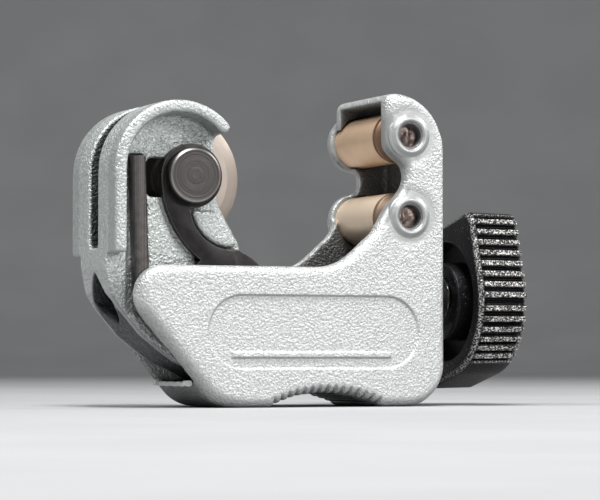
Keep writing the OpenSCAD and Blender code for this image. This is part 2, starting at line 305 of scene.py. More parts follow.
def head_shadow(g):
    """Painted shadow in the hood's slot and hollow and in the shank's window, and painted shade on
    some of its foot and flanks.
    """
    across, z = g.math("ABSOLUTE", g.axis("Y")), g.axis("Z")
    x = g.minus(g.axis("X"), (ROLLER_X + HOOD_X) * MM)
    reach = g.hypot(x, past(g, z, HOOD_Z))
    above = beyond(g, z, 19.5, 20.5)
    slot = both(g, near(g, across, 1.8, 2.05), near(g, reach, HOOD_R - 0.5, HOOD_R - 0.12), above)
    hollow = both(g, near(g, across, 3.3, 3.5), near(g, reach, HOOD_R - 1.9, HOOD_R - 1.7), above)
    bow = g.times(g.math("POWER", g.minus(SHANK_TOP * MM, z), 2.0), SHANK_BOW / MM)
    behind = g.minus(g.plus(x, HOOD_R * MM), bow)
    window = both(g, beyond(g, behind, 0.15, 0.4), near(g, across, 4.0, 4.4),
        near(g, z, 19.0, 19.4))
    # Painted shade on the shank's foot and on its flanks.
    foot = g.times(near(g, z, 5.0, 11.0), FOOT_SHADE_SHARE)
    flank = both(g, beyond(g, across, 4.7, 5.05), near(g, z, 16.0, 19.0), FLANK_SHADE_SHARE)
    return either(g, slot, hollow, window, foot, flank)


def hood_polish(g):
    """The hood's wide shell is smoother than the webs."""
    return g.times(beyond(g, g.math("ABSOLUTE", g.axis("Y")), 5.4, 6.4), 0.45)


def dark_steel(name, colour=(0.026, 0.024, 0.024), streak=0.0):
    """Blackened steel with rubbed edges that carry a painted highlight. Streak is the share of
    upright drawing marks.
    """
    g = Graph(name, Metallic=0.8)
    mottle = g.ramp(g.noise(0.9, 5.0, 0.65), 0.35, 0.7)
    specks = g.ramp(g.noise(0.16, 2.0), 0.64, 0.74)
    shade = g.mix(mottle, toned(colour, 0.82), toned(colour, 1.2))
    shade = g.mix(g.times(specks, 0.16), shade, RUBBED_AND_HIGHLIGHT)
    if streak:
        drawn = g.ramp(g.lines(g.axis("X"), 0.22), 0.45, 0.7)
        shade = g.mix(g.times(drawn, streak), shade, RUBBED_AND_HIGHLIGHT)
    # The edges are lightened as rubbed wear and a painted highlight.
    shade = g.mix(g.times(g.edges(0.16), 0.7), shade, RUBBED_AND_HIGHLIGHT)
    g.bump(g.noise(0.3, 4.0, 0.6), 0.02, 0.7)
    return g.finish(shade, g.ramp(mottle, 0.0, 1.0, 0.36, 0.5))


def turned(name, centre, plane, colour, rough, depth=0.01, metallic=1.0, mark=0.12, contrast=0.06,
        tint_or_light=None):
    """Metal with the fine rings that a lathe or a grinder leaves on faces and rims.

    Mark is the rings' width in mm, and contrast is how much their colour varies. The last argument
    is a function of the graph and a colour: for the rollers' copper-brown collars, the painted
    highlight on the pin head's chamfer and the painted shade round the wheel's hub.
    """
    g = Graph(name, Metallic=metallic)
    along = "XYZ".replace(plane[0], "").replace(plane[1], "")
    rings = g.lines(g.radius(centre, plane), mark)
    bands = g.lines(g.axis(along), mark * 1.4)
    grain = g.times(g.plus(rings, bands), 0.5)
    g.bump(g.plus(grain, g.times(g.noise(0.2, 3.0, 0.6), 0.6)), depth, 0.8)
    stain = g.ramp(g.noise(2.2, 4.0, 0.6), 0.35, 0.7)
    shade = g.mix(g.ramp(grain, 0.3, 0.7), toned(colour, 1 - contrast), toned(colour, 1 + contrast))
    shade = g.mix(g.times(stain, 0.18), shade, toned(colour, 0.75))
    # Painted highlight along the sharp edges.
    shade = g.mix(g.times(g.edges(0.13), 0.4), shade, toned(colour, 1.35))
    if tint_or_light:
        share, tint = tint_or_light
        shade = g.mix(share(g), shade, tint)
    worn = g.plus(grain, g.times(stain, 0.3))
    return g.finish(shade, g.ramp(worn, 0.3, 1.0, rough - 0.05, rough + 0.08))


def collar(g):
    """The rollers' copper-brown end, beyond the groove."""
    return g.times(near(g, g.axis("Y"), GROOVE_Y - 0.05, GROOVE_Y + 0.1), 0.85)


def chamfer_highlight(g):
    """A painted highlight on the ring round the pin's head."""
    away = g.math("ABSOLUTE", g.minus(g.radius(WHEEL), PIN_RING_R * MM))
    return both(g, near(g, away, 0.05, 0.16),
        near(g, g.axis("Y"), PIN_RING_Y, PIN_RING_Y + 0.1), 0.8)


def hub_shade(g):
    """Painted shade: the cutter wheel is dark round its hub, which sits in shadow between the webs.
    """
    return near(g, g.radius(WHEEL), 5.0, 5.6)


def knob_black():
    """Black textured coating, rubbed to bare specks on the ribs and rims."""
    g = Graph("knob_black", Metallic=0.45)
    crest = g.add("Attribute", attribute_name="crest").outputs["Fac"]
    specks = g.ramp(g.noise(0.26, 3.0, 0.65), 0.47, 0.60)
    stray = g.ramp(g.noise(0.36, 1.0), 0.70, 0.76)
    rubbed = g.plus(g.times(crest, specks), g.times(stray, 0.3), clamp=True)
    black, bare = (0.010, 0.010, 0.012), (0.75, 0.73, 0.70)
    g.bump(g.noise(0.35, 3.0, 0.6), 0.11)
    return g.finish(g.mix(rubbed, black, bare), g.ramp(rubbed, 0.0, 1.0, 0.40, 0.30))


# The inside colours: a dark tint with painted shade in the frame's channel, and near-black painted
# shadow in the slide's hollows.
PAINT = cast_paint("cast_body_paint", (0.60, 0.61, 0.605), inside=(0.14, 0.142, 0.14),
    grain=0.36, depth=0.27, shadow=channel_shadow, polish=boss_polish)
HEAD_PAINT = cast_paint("cast_head_paint", (0.58, 0.61, 0.595), inside=(0.018, 0.022, 0.023),
    grain=0.42, depth=0.42, shadow=head_shadow, polish=hood_polish)
DARK = dark_steel("black_oxide_steel")
SPRING_STEEL = dark_steel("spring_steel", (0.08, 0.074, 0.072), streak=0.3)
# The light ring on the head's chamfer is a painted highlight.
HEAD_STEEL = turned("wheel_pin_steel", WHEEL, "XZ", (0.062, 0.057, 0.055), rough=0.38,
    depth=0.035, metallic=0.8, mark=0.22, contrast=0.45, tint_or_light=(chamfer_highlight, (0.42, 0.40, 0.39)))
# The dark round the wheel's hub is painted shade.
WHEEL_STEEL = turned("wheel_steel", WHEEL, "XZ", (0.44, 0.375, 0.325), rough=0.48, metallic=0.45,
    mark=0.10, tint_or_light=(hub_shade, (0.05, 0.045, 0.042)))
SCREW_STEEL = turned("screw_steel", SCREW, "YZ", (0.13, 0.125, 0.12), rough=0.38)
BRONZE_HIGH = turned("upper_roller_bronze", HIGH_ROLLER, "XZ", (0.84, 0.60, 0.41), rough=0.42,
    depth=0.012, metallic=0.65, tint_or_light=(collar, (0.13, 0.06, 0.033)))
BRONZE_LOW = turned("lower_roller_bronze", LOW_ROLLER, "XZ", (0.88, 0.71, 0.55), rough=0.44,
    depth=0.012, metallic=0.55, tint_or_light=(collar, (0.16, 0.09, 0.055)))
COPPER = turned("peened_pin", HIGH_ROLLER, "XZ", (0.25, 0.19, 0.17), rough=0.34, depth=0.12,
    metallic=0.85, mark=0.6)
WORN = turned("worn_edge", WHEEL, "XZ", (0.86, 0.86, 0.84), rough=0.45, depth=0.03, metallic=0.1,
    mark=0.5)
KNOB = knob_black()


# ---- mesh helpers

# Degrees: flatter edges are dissolved before a bevel, and sharper ones are bevelled
FLAT_ANGLE, SHARP_ANGLE = 1.5, 35


def bezier(a, p, b, steps):
    """Points of a soft corner at p, from a to b."""
    for t in np.linspace(0.0, 1.0, steps + 1):
        yield (1 - t) ** 2 * a + 2 * t * (1 - t) * p + t * t * b


def softened(points, radius, steps, closed=True):
    """Outline with every corner rounded. Short edges limit the radius."""
    points = [np.array(p, float) for p in points]
    count, out = len(points), []
    for i, p in enumerate(points):
        if not closed and i in (0, count - 1):
            out.append(p)
            continue
        before, after = points[i - 1], points[(i + 1) % count]
        to_a, to_b = before - p, after - p
        la, lb = np.linalg.norm(to_a), np.linalg.norm(to_b)
        cut = min(radius, 0.45 * la, 0.45 * lb)
        out.extend(bezier(p + to_a / la * cut, p, p + to_b / lb * cut, steps))
    return out


def grid_faces(rows, columns, closed=False):
    """Quads between the points of a grid held row by row. Each row is a loop."""
    faces = []
    for i in range(rows if closed else rows - 1):
        for j in range(columns):
            i2, j2 = (i + 1) % rows, (j + 1) % columns
            faces.append((i * columns + j, i * columns + j2, i2 * columns + j2, i2 * columns + j))
    return faces


def dress(name, mesh, material, body, nodes):
    """A piece with its material, body and the CAD nodes that it stands for."""
    ob = add_object(name, mesh)
    mesh.materials.clear()
    mesh.materials.append(material)
    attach(ob, body)
    if nodes:
        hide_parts(*nodes)


def tidy_mesh(mesh, smooth_angle):
    """Welds and orients a closed mesh, and shades it smooth below the angle in degrees."""
    work = bmesh.new()
    work.from_mesh(mesh)
    bmesh.ops.remove_doubles(work, verts=work.verts, dist=1e-7)
    bmesh.ops.dissolve_degenerate(work, edges=work.edges, dist=1e-8)
    bmesh.ops.recalc_face_normals(work, faces=work.faces)
    work.to_mesh(mesh)
    work.free()
    mesh.polygons.foreach_set("use_smooth", [True] * len(mesh.polygons))
    mesh.set_sharp_from_angle(angle=math.radians(smooth_angle))


def add_object(name, mesh):
    ob = bpy.data.objects.new(name, mesh)
    bpy.context.scene.collection.objects.link(ob)
    return ob


def mesh_mm(name, points, faces, smooth_angle, crest=None):
    """A mesh from points in millimetres. Crest is a value for each point, for the knob's paint."""
    mesh = bpy.data.meshes.new(name)
    mesh.from_pydata(((np.array(points) + SHIFT) * MM).tolist(), [], faces)
    if crest is not None:
        mesh.attributes.new("crest", "FLOAT", "POINT").data.foreach_set("value", crest)
    tidy_mesh(mesh, smooth_angle)
    return mesh


def piece(name, points, faces, material, body, nodes=(), smooth_angle=40):
    """A piece from points in millimetres."""
    mesh = mesh_mm(name, points, faces, smooth_angle)
    dress(name, mesh, material, body, nodes)


def revolved(profile, centre, along, segments=128):
    """Points and faces of a closed profile of (distance along the axis, radius) turned about it."""
    turn = np.linspace(0, 2 * math.pi, segments, endpoint=False)
    k = "XY".index(along)
    rows = []
    for a, r in profile:
        ring = np.zeros((segments, 3))
        ring[:, k] = a
        ring[:, 1 - k] = centre[1 - k] + r * np.cos(turn)
        ring[:, 2] = centre[2] + r * np.sin(turn)
        rows.append(ring)
    return np.concatenate(rows), grid_faces(len(profile), segments, closed=True)


def joined(*parts):
    """Several (points, faces) pairs as one."""
    points, faces, start = [], [], 0
    for some, quads in parts:
        points.append(np.array(some))
        faces += [tuple(k + start for k in quad) for quad in quads]
        start += len(some)
    return np.concatenate(points), faces


def swept(path, section, sideways=(0.0, 1.0, 0.0)):
    """A section of (across, up) points carried along a path, with closed ends."""
    path = np.array(path, float)
    tangents = np.gradient(path, axis=0)
    tangents /= np.linalg.norm(tangents, axis=1)[:, None]
    side = np.array(sideways)
    rows = []
    for p, t in zip(path, tangents):
        side = side - t * (side @ t)
        side = side / np.linalg.norm(side)
        up = np.cross(t, side)
        rows.append([p + side * a + up * b for a, b in section])
    count = len(section)
    faces = grid_faces(len(path), count)
    faces.append(tuple(range(count)))
    faces.append(tuple(range((len(path) - 1) * count, len(path) * count)))
    return np.concatenate(rows), faces


def smooth_path(corners, radius, steps=6):
    """A 3-D path with rounded corners."""
    return softened(corners, radius, steps, closed=False)


def evaluated_mesh(ob):
    """The mesh with its modifiers applied. The object is removed."""
    graph = bpy.context.evaluated_depsgraph_get()
    mesh = bpy.data.meshes.new_from_object(ob.evaluated_get(graph))
    bpy.data.objects.remove(ob)
    return mesh


def bevelled(name, node, width, material, body):
    """A CAD node's shape with its sharp edges broken."""
    mesh = frame["nodes"][node].data.copy()
    work = bmesh.new()
    work.from_mesh(mesh)
    bmesh.ops.remove_doubles(work, verts=work.verts, dist=2e-6)
    bmesh.ops.dissolve_limit(work, angle_limit=math.radians(FLAT_ANGLE), verts=work.verts,
        edges=work.edges, delimit={"NORMAL"})
    work.to_mesh(mesh)
    work.free()
    ob = add_object(name + "_raw", mesh)
    cut = ob.modifiers.new("edges", "BEVEL")
    cut.width = width * MM
    cut.segments = 3
    cut.limit_method = "ANGLE"
    cut.angle_limit = math.radians(SHARP_ANGLE)
    made = evaluated_mesh(ob)
    tidy_mesh(made, 40)
    dress(name, made, material, body, [node])


# ---- castings

# Voxel size in mm, and the number of smoothing passes
FRAME_VOXEL, FRAME_PASSES = 0.25, 9
SLIDE_VOXEL, SLIDE_PASSES = 0.2, 22
# How round the frame's outer edges are, in mm
TOP_EDGE, NOSE_EDGE, FOOT_EDGE, RIGHT_EDGE = 1.15, 2.0, 1.5, 0.5


def coordinates(mesh):
    """A mesh's points, in mm from the roller axes."""
    flat = np.empty(len(mesh.vertices) * 3, np.float32)
    mesh.vertices.foreach_get("co", flat)
    return flat.reshape(-1, 3).astype(float) / MM - SHIFT


def set_coordinates(mesh, points):
    """Moves a mesh's points, given in mm from the roller axes."""
    mesh.vertices.foreach_set("co", ((points + SHIFT) * MM).astype(np.float32).ravel())
    mesh.update()


def voxel_copy(node, voxel):
    """A CAD node's mesh as even small quads."""
    ob = add_object(node + "_raw", frame["nodes"][node].data.copy())
    remesh = ob.modifiers.new("voxels", "REMESH")
    remesh.mode = "VOXEL"
    remesh.voxel_size = voxel * MM
    return evaluated_mesh(ob)


def worn_smooth(mesh, passes, share):
    """Rounds every edge as casting and tumbling do.

    Share is a function of the points. It gives 0 to 1, for how much each point moves.
    """
    points = coordinates(mesh)
    pairs = np.empty(len(mesh.edges) * 2, np.int32)
    mesh.edges.foreach_get("vertices", pairs)
    a, b = pairs.reshape(-1, 2).T
    count = len(points)
    degree = np.bincount(a, minlength=count) + np.bincount(b, minlength=count)
    weight = (0.5 * share(points))[:, None]
    for _ in range(passes):
        total = np.empty_like(points)
        for k in range(3):
            total[:, k] = np.bincount(a, points[b, k], count) + np.bincount(b, points[a, k], count)
        points += weight * (total / degree[:, None] - points)
    set_coordinates(mesh, points)


def step(value, low, high):
    """Smooth step from 0 at low to 1 at high."""
    t = np.clip((value - low) / (high - low), 0.0, 1.0)
    return t * t * (3 - 2 * t)


def ripple(turns):
    """1 at every whole number of turns, falling to 0 half way between."""
    return np.abs((turns % 1.0) - 0.5) * 2


def from_axis(points, axis):
    """Distance of each point from an axis along Y."""
    return np.hypot(points[:, 0] - axis[0], points[:, 2] - axis[2])


# The obround panel, and the plain bar that stands in it
PANEL_ENDS = (-25.6, -3.7)
PANEL_Z = 10.4
PANEL_R = 5.15
PANEL_DEPTH = 0.3
BAR_X = (-27.0, -3.0)
BAR_Z = (6.9, 7.6)


def panel_depths(points):
    """How far each point is inside the panel's outline, and inside its bar."""
    x, z = points[:, 0], points[:, 2]
    inside = PANEL_R - np.hypot(x - np.clip(x, *PANEL_ENDS), z - PANEL_Z)
    bar = np.minimum.reduce([x - BAR_X[0], BAR_X[1] - x, z - BAR_Z[0], BAR_Z[1] - z])
    return inside, bar


def sink_panel(points):
    """The points' new y, with the panel sunk into both sides and its plain bar left standing."""
    y = points[:, 1]
    inside, bar = panel_depths(points)
    sunk = step(inside, -0.05, 0.25) * (1 - step(bar, -0.2, 0.1))
    side = (np.abs(y) > HALF_W - 0.7) & (inside > -1.2)
    return np.where(side, np.sign(y) * (HALF_W - PANEL_DEPTH * sunk), y)


def refine(mesh, wanted):
    """Splits the quads whose middle is in the wanted region."""
    work = bmesh.new()
    work.from_mesh(mesh)
    work.faces.ensure_lookup_table()
    middles = np.array([f.calc_center_median() for f in work.faces]) / MM - SHIFT
    chosen = [work.faces[i] for i in np.nonzero(wanted(middles))[0]]
    edges = list({e for f in chosen for e in f.edges})
    bmesh.ops.subdivide_edges(work, edges=edges, cuts=1, use_grid_fill=True)
    work.to_mesh(mesh)
    work.free()


def panel_band(points):
    """The band around the panel's outline and its bar, on both sides."""
    inside, bar = panel_depths(points)
    outline = np.abs(inside - 0.1) < 0.5
    return (np.abs(points[:, 1]) > HALF_W - 0.5) & (outline | ((bar > -0.5) & (inside > 0)))


# The frame's side, as x, z and corner radius
SIDE = [(-29.2, 0.0, 6.0), (5.5, 0.0, 5.5), (5.5, 44.2, 7.5), (-3.55, 44.2, 1.4),
    (-3.55, 36.2, 2.5), (-0.4, 33.7, 2.0), (-0.4, 31.2, 3.0), (-3.5, 27.7, 2.0),
    (-5.2, 24.6, 4.0), (-11.0, 19.5, 8.0), (-45.87, 19.5, 4.15)]
# The thumb arch cut into its bottom edge. The notches' pitch and reach are in degrees
ARCH, ARCH_R = (-12.65, -17.55), 19.5
NOTCH_TURN, NOTCH_SPAN, NOTCH_DEPTH = 3.32, 24.9, 0.34


def unit(v):
    return v / np.linalg.norm(v)


def rounded(corners, steps=8):
    """Points of an outline with each corner rounded to a true arc."""
    out, count = [], len(corners)
    for i, (x, z, r) in enumerate(corners):
        p = np.array([x, z])
        to_a = unit(np.array(corners[i - 1][:2]) - p)
        to_b = unit(np.array(corners[(i + 1) % count][:2]) - p)
        half = math.acos(float(to_a @ to_b)) / 2
        middle = p + unit(to_a + to_b) * r / math.sin(half)
        start = p + to_a * r / math.tan(half) - middle
        end = p + to_b * r / math.tan(half) - middle
        turn = math.pi - 2 * half
        for t in np.linspace(0.0, 1.0, steps + 1):
            a, b = math.sin((1 - t) * turn), math.sin(t * turn)
            out.append(middle + (start * a + end * b) / math.sin(turn))
    return np.array(out)


def depth_inside(flat, outline):
    """How deep each (x, z) point is in the outline, the way in, and the nearest outline point."""
    best = np.full(len(flat), np.inf)
    normal, nearest = np.zeros_like(flat), np.zeros_like(flat)
    for a, b in zip(outline, np.roll(outline, -1, 0)):
        along = b - a
        length = along @ along
        if length < 1e-9:
            continue
        t = np.clip((flat - a) @ along / length, 0.0, 1.0)
        spot = a + t[:, None] * along
        away = np.hypot(*(flat - spot).T)
        closer = away < best
        best[closer] = away[closer]
        nearest[closer] = spot[closer]
        normal[closer] = np.array([-along[1], along[0]]) / math.sqrt(length)
    side = np.einsum("ij,ij->i", flat - nearest, normal)
    depth = np.where(side >= 0, best, -best)
    clear = depth > 0.3
    normal[clear] = (flat - nearest)[clear] / depth[clear][:, None]
    # The arch cuts the outline from below
    to_arch = flat - np.array(ARCH)
    reach = np.hypot(*to_arch.T)
    arched = reach - ARCH_R < depth
    depth = np.where(arched, reach - ARCH_R, depth)
    normal[arched] = to_arch[arched] / reach[arched][:, None]
    nearest[arched] = np.array(ARCH) + normal[arched] * ARCH_R
    return depth, normal, nearest


def edge_radius(spot):
    """How round the frame's outer edge is at a point of its outline."""
    x, z = spot.T
    nose = (1 - step(z, 15.5, 18.5)) * (1 - step(x, -29.0, -24.0))
    foot = (1 - step(z, 1.5, 3.0)) * (1 - nose)
    right = step(x, 5.0, 5.4) * step(z, 3.0, 6.0) * (1 - step(z, 36.0, 41.0))
    return (TOP_EDGE + (NOSE_EDGE - TOP_EDGE) * nose + (FOOT_EDGE - TOP_EDGE) * foot
        + (RIGHT_EDGE - TOP_EDGE) * right)


def round_sides(points):
    """Rolls the side faces over to the outline in a quarter round, on both sides."""
    y = points[:, 1]
    below = HALF_W - np.abs(y)
    chosen = np.nonzero((below > -0.1) & (below < 2.1))[0]
    depth, normal, nearest = depth_inside(points[chosen][:, (0, 2)], rounded(SIDE))
    b = np.clip(below[chosen], 0.0, None)
    r = edge_radius(nearest)
    on_face = b < 0.12
    # Points near the outline move, and the face does not move inside the round
    rim = (depth > -0.2) & (b < r) & (on_face | (depth < 0.7)) & ~(on_face & (depth > r))
    turn = np.radians(np.where(on_face, 45 * (1 - np.clip(depth / r, 0, 1)), 45 * (1 + b / r)))
    inward = r * (1 - np.sin(turn)) - np.where(on_face, depth, 0.0)
    inward = np.where(rim, np.maximum(inward, 0.0), 0.0)
    sunk = np.where(rim, np.maximum(r * (1 - np.cos(turn)) - b, 0.0), 0.0)
    moved = points.copy()
    moved[chosen, 0] += normal[:, 0] * inward
    moved[chosen, 2] += normal[:, 1] * inward
    moved[chosen, 1] -= np.sign(y[chosen]) * sunk
    return moved


def round_arch(points):
    """The way from the arch's centre to each point, its length and its angle from upright."""
    away = points[:, (0, 2)] - np.array(ARCH)
    return away, np.hypot(*away.T), np.degrees(np.arctan2(away[:, 0], away[:, 1]))


def arch_band(points):
    """The serrated strip of the thumb arch."""
    _, reach, turn = round_arch(points)
    return (np.abs(reach - ARCH_R - 0.4) < 0.9) & (np.abs(turn) < NOTCH_SPAN + 2)


def notch_arch(points):
    """Cuts the small serrations into the arch, across the whole width."""
    away, reach, turn = round_arch(points)
    ends = 1 - step(np.abs(turn), NOTCH_SPAN - 1.2, NOTCH_SPAN)
    fade = (1 - step(reach - ARCH_R, 0.5, 1.5)) * (reach > ARCH_R - 0.5)
    cut = NOTCH_DEPTH * step(ripple(turn / NOTCH_TURN), 0.35, 0.85) * ends * fade
    shift = away / reach[:, None] * cut[:, None]
    moved = points.copy()
    moved[:, 0] += shift[:, 0]
    moved[:, 2] += shift[:, 1]
    return moved


def frame_share(points):
    """The edge of the nut's hole stays crisp, and all other edges wear fully."""
    nut = np.hypot(points[:, 1], points[:, 2] - SCREW[2])
    return 1 - 0.85 * (points[:, 0] > 3.4) * (1 - step(nut, 5.6, 6.4))


def flat_bosses(points):
    """Drops the raised bosses to the side face, where the boss rings are set in."""
    close = np.minimum(from_axis(points, HIGH_ROLLER), from_axis(points, LOW_ROLLER))
    flat = (close < 3.3) & (close > 1.75)
    low = np.where(flat, -HALF_W, points[:, 1].min())
    return np.column_stack([points[:, 0], np.maximum(points[:, 1], low), points[:, 2]])


def frame_casting():
    """The frame with worn edges, its sunk panels and the serrated arch."""
    mesh = voxel_copy("frame", FRAME_VOXEL)
    set_coordinates(mesh, round_sides(flat_bosses(coordinates(mesh))))
    worn_smooth(mesh, FRAME_PASSES, frame_share)
    refine(mesh, lambda middles: panel_band(middles) | arch_band(middles))
    points = coordinates(mesh)
    points[:, 1] = sink_panel(points)
    set_coordinates(mesh, notch_arch(points))
    tidy_mesh(mesh, 180)
    dress("frame_casting", mesh, PAINT, "frame", ["frame"])


def boss_rings():
    """The rolled rings round the sunk ends of the roller pins."""
    crest = box_mm("frame")[0][1]
    profile = softened([(-7.4, 1.72), (-7.4, 3.3), (-8.75, 3.3), (-8.9, 3.12), (-8.98, 2.92),
        (-9.14, 2.72), (crest, 2.42), (crest, 2.2), (crest + 0.14, 1.98), (-8.95, 1.84),
        (-8.3, 1.72)], 0.14, 3)
    parts = [revolved(profile, axis, "Y", 96) for axis in (HIGH_ROLLER, LOW_ROLLER)]
    points, faces = joined(*parts)
    piece("boss_rings", points, faces, PAINT, "frame", smooth_angle=60)


def mouth_lip():
    """Worn edge across the front of the channel's floor, with a small block at each end."""
    x, z, half = -32.35, 3.25, 5.9
    section = softened([(-0.22, -0.32), (0.25, -0.32), (0.25, 0.3), (-0.22, 0.34)], 0.12, 3)
    path = [(x + 0.06 * math.sin(k * 1.7), y, z + 0.04 * math.sin(k * 1.1))
        for k, y in enumerate(np.linspace(-half, half, 25))]
    parts = [swept(path, section, (1.0, 0.0, 0.0))]
    face = softened([(-0.5, -0.4), (0.45, -0.4), (0.45, 0.33), (-0.5, 0.33)], 0.2, 3)
    for y in (0.3 - half, half - 0.3):
        block = [(x - 0.1, y + t, z + 0.08) for t in (-0.55, -0.2, 0.2, 0.55)]
        parts.append(swept(block, face, (1.0, 0.0, 0.0)))
    points, faces = joined(*parts)
    piece("mouth_lip", points, faces, WORN, "frame", smooth_angle=60)


def slide_share(points):
    """The guide base wears least, and the hood's wide shell most."""
    base = step(points[:, 2], 7.5, 9.5)
    wide = step(np.abs(points[:, 1]), 5.3, 6.2)
    return np.maximum(0.35, np.maximum(base * 0.55, wide * base))


def slide_casting():
    """The slide with worn edges."""
    mesh = voxel_copy("slide_housing", SLIDE_VOXEL)
    worn_smooth(mesh, SLIDE_PASSES, slide_share)
    tidy_mesh(mesh, 180)
    dress("slide_casting", mesh, HEAD_PAINT, "slide",
        ["slide_housing"])


# ---- turned pieces

def roller(name, node, axis, material, body):
    """Barrel with a sharp far end, a fine groove and a tapered collar at the near end."""
    low, high = box_mm(node)
    r = (high[0] - low[0]) / 2
    profile = [(low[1], ROLLER_BORE), (low[1], r - 0.6), (low[1] + 0.12, r - 0.5), (-5.3, r - 0.3),
        (-5.0, r - 0.06), (-4.56, r - 0.02), (-4.5, r - 0.33), (-4.22, r - 0.33),
        (GROOVE_Y, r - 0.03), (-4.08, r), (high[1] - 0.08, r), (high[1], r - 0.08),
        (high[1], ROLLER_BORE)]
    points, faces = revolved(profile, axis, "Y")
    piece(name, points, faces, material, body, [node], 30)


def peened_pin(name, node, axis, seed):
    """A pin whose sunk end is crushed by riveting."""
    low, high = box_mm(node)
    r = (high[0] - low[0]) / 2
    segments, rings, dents = 64, 14, 9
    profile = [(low[1] + 0.25 * (k / rings) ** 3, r * k / rings) for k in range(rings + 1)]
    profile += [(high[1] - 0.2, r), (high[1], r - 0.2), (high[1], 0.0)]
    points, faces = revolved(profile, axis, "Y", segments)
    rng = np.random.default_rng(seed)
    spots = rng.uniform(-r * 0.75, r * 0.75, (dents, 2))
    for u, v in spots:
        away = np.hypot(points[:, 0] - axis[0] - u, points[:, 2] - axis[2] - v)
        face = points[:, 1] < low[1] + 0.3
        points[face, 1] += (0.22 * np.exp(-(away / 0.42) ** 2) * rng.choice([-0.6, 1.0]))[face]
    points[:, 1] = np.maximum(points[:, 1], low[1] - 0.15)
    piece(name, points, faces, COPPER, "frame", [node], 60)


def cutter_wheel():
    """A hub, a thin web and a ground edge."""
    low, high = box_mm("cutter_wheel")
    r = (high[0] - low[0]) / 2
    half, bore, hub = high[1], 1.83, 3.8
    side = [(half, bore), (half, hub - 0.25), (half - 0.25, hub), (1.05, hub), (0.9, hub + 0.3),
        (0.85, r - 1.9), (0.42, r - 0.8), (0.04, r)]
    profile = [(-a, q) for a, q in side] + [(a, q) for a, q in reversed(side)]
    points, faces = revolved(softened(profile, 0.12, 3), WHEEL, "Y", 192)
    piece("cutter_wheel_ground", points, faces, WHEEL_STEEL, "wheel",
        ["cutter_wheel"], 25)


def wheel_pin():
    """A flat head with faint turned rings, and a groove for the clip at the back."""
    low, high = box_mm("wheel_pin")
    r = (high[0] - low[0]) / 2
    shank, count = 1.8, 24
    face = [(low[1] + 0.03 + 0.006 * math.cos(5 * math.pi * k / count), r * 0.88 * k / count)
        for k in range(count + 1)]
    rim = [(low[1] + 0.02, r * 0.9), (low[1] + 0.3, r), (-6.32, r), (-6.05, r - 0.22),
        (-6.05, shank), (6.06, shank), (6.12, shank - 0.35), (6.72, shank - 0.35), (6.78, shank),
        (high[1] - 0.3, shank), (high[1], shank - 0.3), (high[1], 0.0)]
    points, faces = revolved(face + softened(rim, 0.06, 2, closed=False), WHEEL, "Y", 128)
    piece("wheel_pin_turned", points, faces, HEAD_STEEL, "lever",
        ["wheel_pin"], 30)


def ring(name, node, axis, along, bore, soft, material, body, slot):
    """A washer or bush, with softened edges."""
    low, high = box_mm(node)
    k = 0 if along == "X" else 1
    r = (high[2] - low[2]) / 2
    profile = softened([(low[k], bore), (low[k], r), (high[k], r), (high[k], bore)], soft, 3)
    points, faces = revolved(profile, axis, along)
    piece(name, points, faces, material, body, [node])


def round_pin(name, node, axis, soft, material, body):
    """A plain pin along Y with domed ends."""
    low, high = box_mm(node)
    r = (high[0] - low[0]) / 2
    end = [(low[1], 0.0), (low[1] + 0.06, r * 0.5), (low[1] + soft, r - soft * 0.3),
        (low[1] + 2 * soft, r)]
    back = [(low[1] + high[1] - a, q) for a, q in reversed(end)]
    points, faces = revolved(softened(end + back, 0.08, 2, closed=False), axis, "Y", 64)
    piece(name, points, faces, material, body, [node])


def retaining_pins():
    """The two pins that hold the screw in the slide by its neck."""
    low, high = box_mm("screw_retaining_pins")
    r = (high[0] - low[0]) / 2
    profile = softened([(low[1], 0.0), (low[1], r), (high[1], r), (high[1], 0.0)], 0.15, 3,
        closed=False)
    parts = [revolved(profile, np.array([(low[0] + high[0]) / 2, 0.0, z]), "Y", 48)
        for z in (low[2] + r, high[2] - r)]
    points, faces = joined(*parts)
    piece("screw_retaining_pins_turned", points, faces, SCREW_STEEL, "slide",
        ["screw_retaining_pins"])


def thread_ripple(points):
    """1 in the roots of the left-hand thread and 0 on its crests."""
    turn = np.arctan2(points[:, 2] - SCREW[2], points[:, 1]) / (2 * math.pi)
    return ripple(points[:, 0] / THREAD_PITCH + turn)


def scale_about_screw(points, scale):
    """Moves the points towards the screw's axis or away from it, in place."""
    points[:, 1] *= scale
    points[:, 2] = SCREW[2] + (points[:, 2] - SCREW[2]) * scale


def feed_nut():
    """Threaded insert with a flange inside the frame and a left-hand thread in its bore."""
    low, high = box_mm("feed_nut")
    flange, flange_end, body_r = (high[2] - low[2]) / 2, 3.9, 5.0
    crest, depth = 3.6, 0.35
    root = crest + depth
    rows, segments = 44, 96
    outer = softened([(low[0], root), (low[0], flange), (flange_end, flange), (flange_end, body_r),
        (high[0], body_r), (high[0], root)], 0.18, 3, closed=False)
    inner = [(high[0] + (low[0] - high[0]) * k / rows, root) for k in range(1, rows)]
    points, faces = revolved(outer + inner, SCREW, "X", segments)
    bore = points[len(outer) * segments:]
    scale_about_screw(bore, (crest + depth * thread_ripple(bore)) / root)
    piece("feed_nut_threaded", points, faces, SCREW_STEEL, "frame",
        ["feed_nut"], 50)


